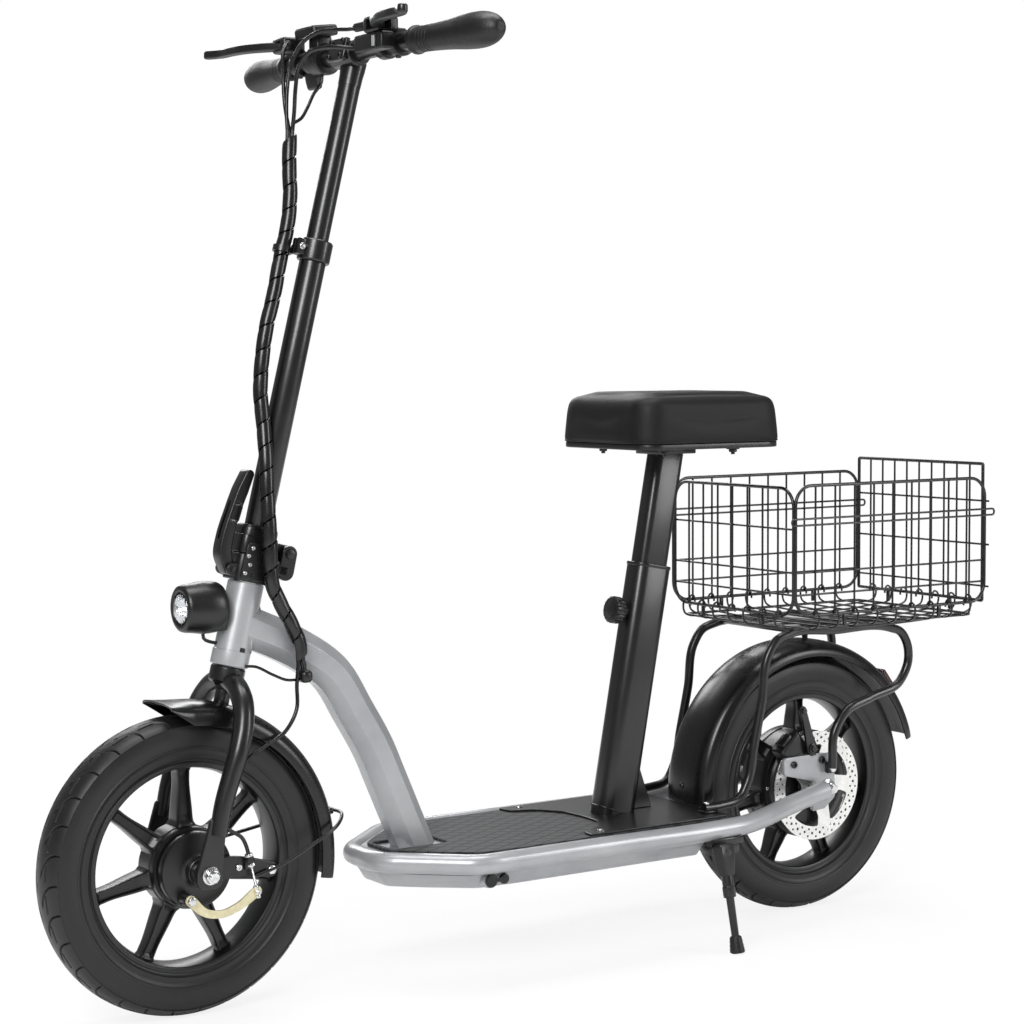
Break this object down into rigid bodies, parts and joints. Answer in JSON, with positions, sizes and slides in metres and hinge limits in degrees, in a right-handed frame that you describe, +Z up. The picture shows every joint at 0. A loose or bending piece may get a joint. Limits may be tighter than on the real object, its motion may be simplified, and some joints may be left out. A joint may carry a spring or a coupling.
{
  "type": "electric scooter",
  "caption": "Seated electric scooter with a folding stem, hub motor, drum and disc brakes, rear wire basket and kickstand; wheels, steering, levers and seat post move.",
  "frame": {"origin": "centre of the bounding box, on the floor that the two tyres and the kickstand stand on", "axes": "+X towards the rear wheel and the basket, +Y to the rider's right, +Z up"},
  "size_m": [1.4554, 0.632, 1.2461],
  "materials": {
    "battery_sleeve": "blue shrink sleeve",
    "black_cast_alloy": "black painted cast alloy",
    "black_plastic": "moulded black plastic",
    "black_vinyl": "black grained vinyl",
    "bright_steel": "bright plated steel",
    "cable_black": "black cable covering",
    "clear_lens": "clear moulded lens",
    "dark_red_lens": "dark red moulded lens",
    "grey_plastic": "grey plastic",
    "grip_rubber": "soft ribbed rubber",
    "mat_rubber": "grey rubber with a raised pattern",
    "satin_black_metal": "satin black powder coat",
    "silver_paint": "metallic silver lacquer",
    "tyre_rubber": "black rubber with tread",
    "yellow_zinc": "yellow zinc plating"
  },
  "bodies": {
    "frame": {"basket_floor": "satin_black_metal", "basket_front_panel": "satin_black_metal", "basket_left_panel": "satin_black_metal", "basket_rear_panel": "satin_black_metal", "basket_right_panel": "satin_black_metal", "battery_pack": "battery_sleeve", "belly_tray": "silver_paint", "brake_caliper": "satin_black_metal", "deck_frame": "silver_paint", "deck_mat": "mat_rubber", "front_brake_cable": "cable_black", "head_tube": "silver_paint", "headlight_housing": "black_plastic", "headlight_lens": "clear_lens", "left_dropout": "silver_paint", "main_tube": "silver_paint", "motor_controller": "bright_steel", "rear_axle": "bright_steel", "rear_brake_cable": "cable_black", "rear_fender": "black_plastic", "rear_rack": "satin_black_metal", "right_dropout": "silver_paint", "seat_base_cover": "satin_black_metal", "seat_post_sleeve": "satin_black_metal", "spiral_wrap": "cable_black", "tail_light": "dark_red_lens", "wiring_loom": "cable_black"},
    "rear_wheel": {"brake_disc": "bright_steel", "rear_tyre": "tyre_rubber", "rear_wheel": "black_cast_alloy"},
    "fork": {"brake_plate": "black_cast_alloy", "fender_stay": "satin_black_metal", "fold_base": "satin_black_metal", "fork": "satin_black_metal", "front_axle": "bright_steel", "front_fender": "black_plastic"},
    "caliper_arm": {"caliper_arm": "satin_black_metal"},
    "charge_cap": {"charge_cap": "black_plastic"},
    "stem_upper": {"display_unit": "black_plastic", "handlebar": "satin_black_metal", "left_grip": "grip_rubber", "left_lever_bracket": "black_plastic", "right_grip": "grip_rubber", "right_lever_bracket": "black_plastic", "stem_upper": "satin_black_metal", "switch_box": "black_plastic"},
    "fold_lever": {"fold_lever": "satin_black_metal"},
    "front_brake_arm": {"front_brake_arm": "yellow_zinc"},
    "front_wheel": {"front_tyre": "tyre_rubber", "front_wheel": "black_cast_alloy"},
    "kickstand": {"kickstand_leg": "satin_black_metal"},
    "left_brake_lever": {"left_brake_lever": "satin_black_metal"},
    "right_brake_lever": {"right_brake_lever": "satin_black_metal"},
    "seat": {"seat_cushion": "black_vinyl", "seat_pan": "black_plastic", "seat_post": "satin_black_metal"},
    "seat_knob": {"seat_knob": "black_plastic"},
    "stem_lower": {"stem_lower": "satin_black_metal"},
    "switch_rocker": {"switch_rocker": "grey_plastic"},
    "throttle_paddle": {"throttle_paddle": "black_plastic"}
  },
  "joints": [
    {"name": "steering", "type": "hinge", "parent": "frame", "child": "fork", "pos_m": [-0.45831, 0, 0.48308], "axis": [0.2419, 0, 0.9703], "range_deg": [-50, 50]},
    {"name": "front_wheel_spin", "type": "hinge", "parent": "fork", "child": "front_wheel", "pos_m": [-0.54031, 0, 0.18738], "axis": [0, 1, 0], "continuous": true},
    {"name": "front_brake_arm_swing", "type": "hinge", "parent": "fork", "child": "front_brake_arm", "pos_m": [-0.56031, -0.0662, 0.15598], "axis": [0, -1, 0], "range_deg": [0, 8]},
    {"name": "stem_fold", "type": "hinge", "parent": "fork", "child": "stem_lower", "pos_m": [-0.39234, 0, 0.56908], "axis": [0, 1, 0], "range_deg": [0, 55]},
    {"name": "fold_lever_swing", "type": "hinge", "parent": "fork", "child": "fold_lever", "pos_m": [-0.47235, 0, 0.55409], "axis": [0, -1, 0], "range_deg": [0, 75]},
    {"name": "stem_height", "type": "slide", "parent": "stem_lower", "child": "stem_upper", "axis": [0.2419, 0, 0.9703], "range_m": [-0.16, 0], "deforming": ["spiral_wrap", "front_brake_cable", "rear_brake_cable", "wiring_loom"]},
    {"name": "left_lever_squeeze", "type": "hinge", "parent": "stem_upper", "child": "left_brake_lever", "pos_m": [-0.31833, -0.125, 1.22506], "axis": [0, 0, 1], "range_deg": [0, 16], "stiffness_Nm_per_rad": 0.6, "springref_deg": -8.59},
    {"name": "right_lever_squeeze", "type": "hinge", "parent": "stem_upper", "child": "right_brake_lever", "pos_m": [-0.31833, 0.125, 1.22506], "axis": [0, 0, -1], "range_deg": [0, 16], "stiffness_Nm_per_rad": 0.6, "springref_deg": -8.59},
    {"name": "throttle_push", "type": "hinge", "parent": "stem_upper", "child": "throttle_paddle", "pos_m": [-0.28783, 0, 1.20406], "axis": [0, 1, 0], "range_deg": [0, 40], "stiffness_Nm_per_rad": 0.15, "springref_deg": -17.19},
    {"name": "switch_rock", "type": "hinge", "parent": "stem_upper", "child": "switch_rocker", "pos_m": [-0.32433, -0.125, 1.20456], "axis": [0, 1, 0], "range_deg": [-7, 7]},
    {"name": "rear_wheel_spin", "type": "hinge", "parent": "frame", "child": "rear_wheel", "pos_m": [0.45969, 0, 0.18738], "axis": [0, 1, 0], "continuous": true},
    {"name": "caliper_arm_pull", "type": "hinge", "parent": "frame", "child": "caliper_arm", "pos_m": [0.43219, -0.071, 0.24748], "axis": [0, -1, 0], "range_deg": [0, 20]},
    {"name": "kickstand_swing", "type": "hinge", "parent": "frame", "child": "kickstand", "pos_m": [0.20769, -0.146, 0.137], "axis": [0, -1, 0], "range_deg": [0, 85]},
    {"name": "seat_height", "type": "slide", "parent": "frame", "child": "seat", "axis": [0.1857, 0, 0.9826], "range_m": [-0.045, 0.06]},
    {"name": "seat_knob_turn", "type": "hinge", "parent": "frame", "child": "seat_knob", "pos_m": [0.1477, 0, 0.4595], "axis": [-0.9826, 0, 0.1857], "range_deg": [0, 270]},
    {"name": "charge_cap_swing", "type": "hinge", "parent": "frame", "child": "charge_cap", "pos_m": [-0.14681, -0.1262, 0.14], "axis": [0, 0, 1], "range_deg": [0, 110]}
  ],
  "couplings": [
    {"joint": "front_brake_arm_swing", "follows": "left_lever_squeeze", "ratio": 0.5},
    {"joint": "caliper_arm_pull", "follows": "right_lever_squeeze", "ratio": 1.25}
  ]
}
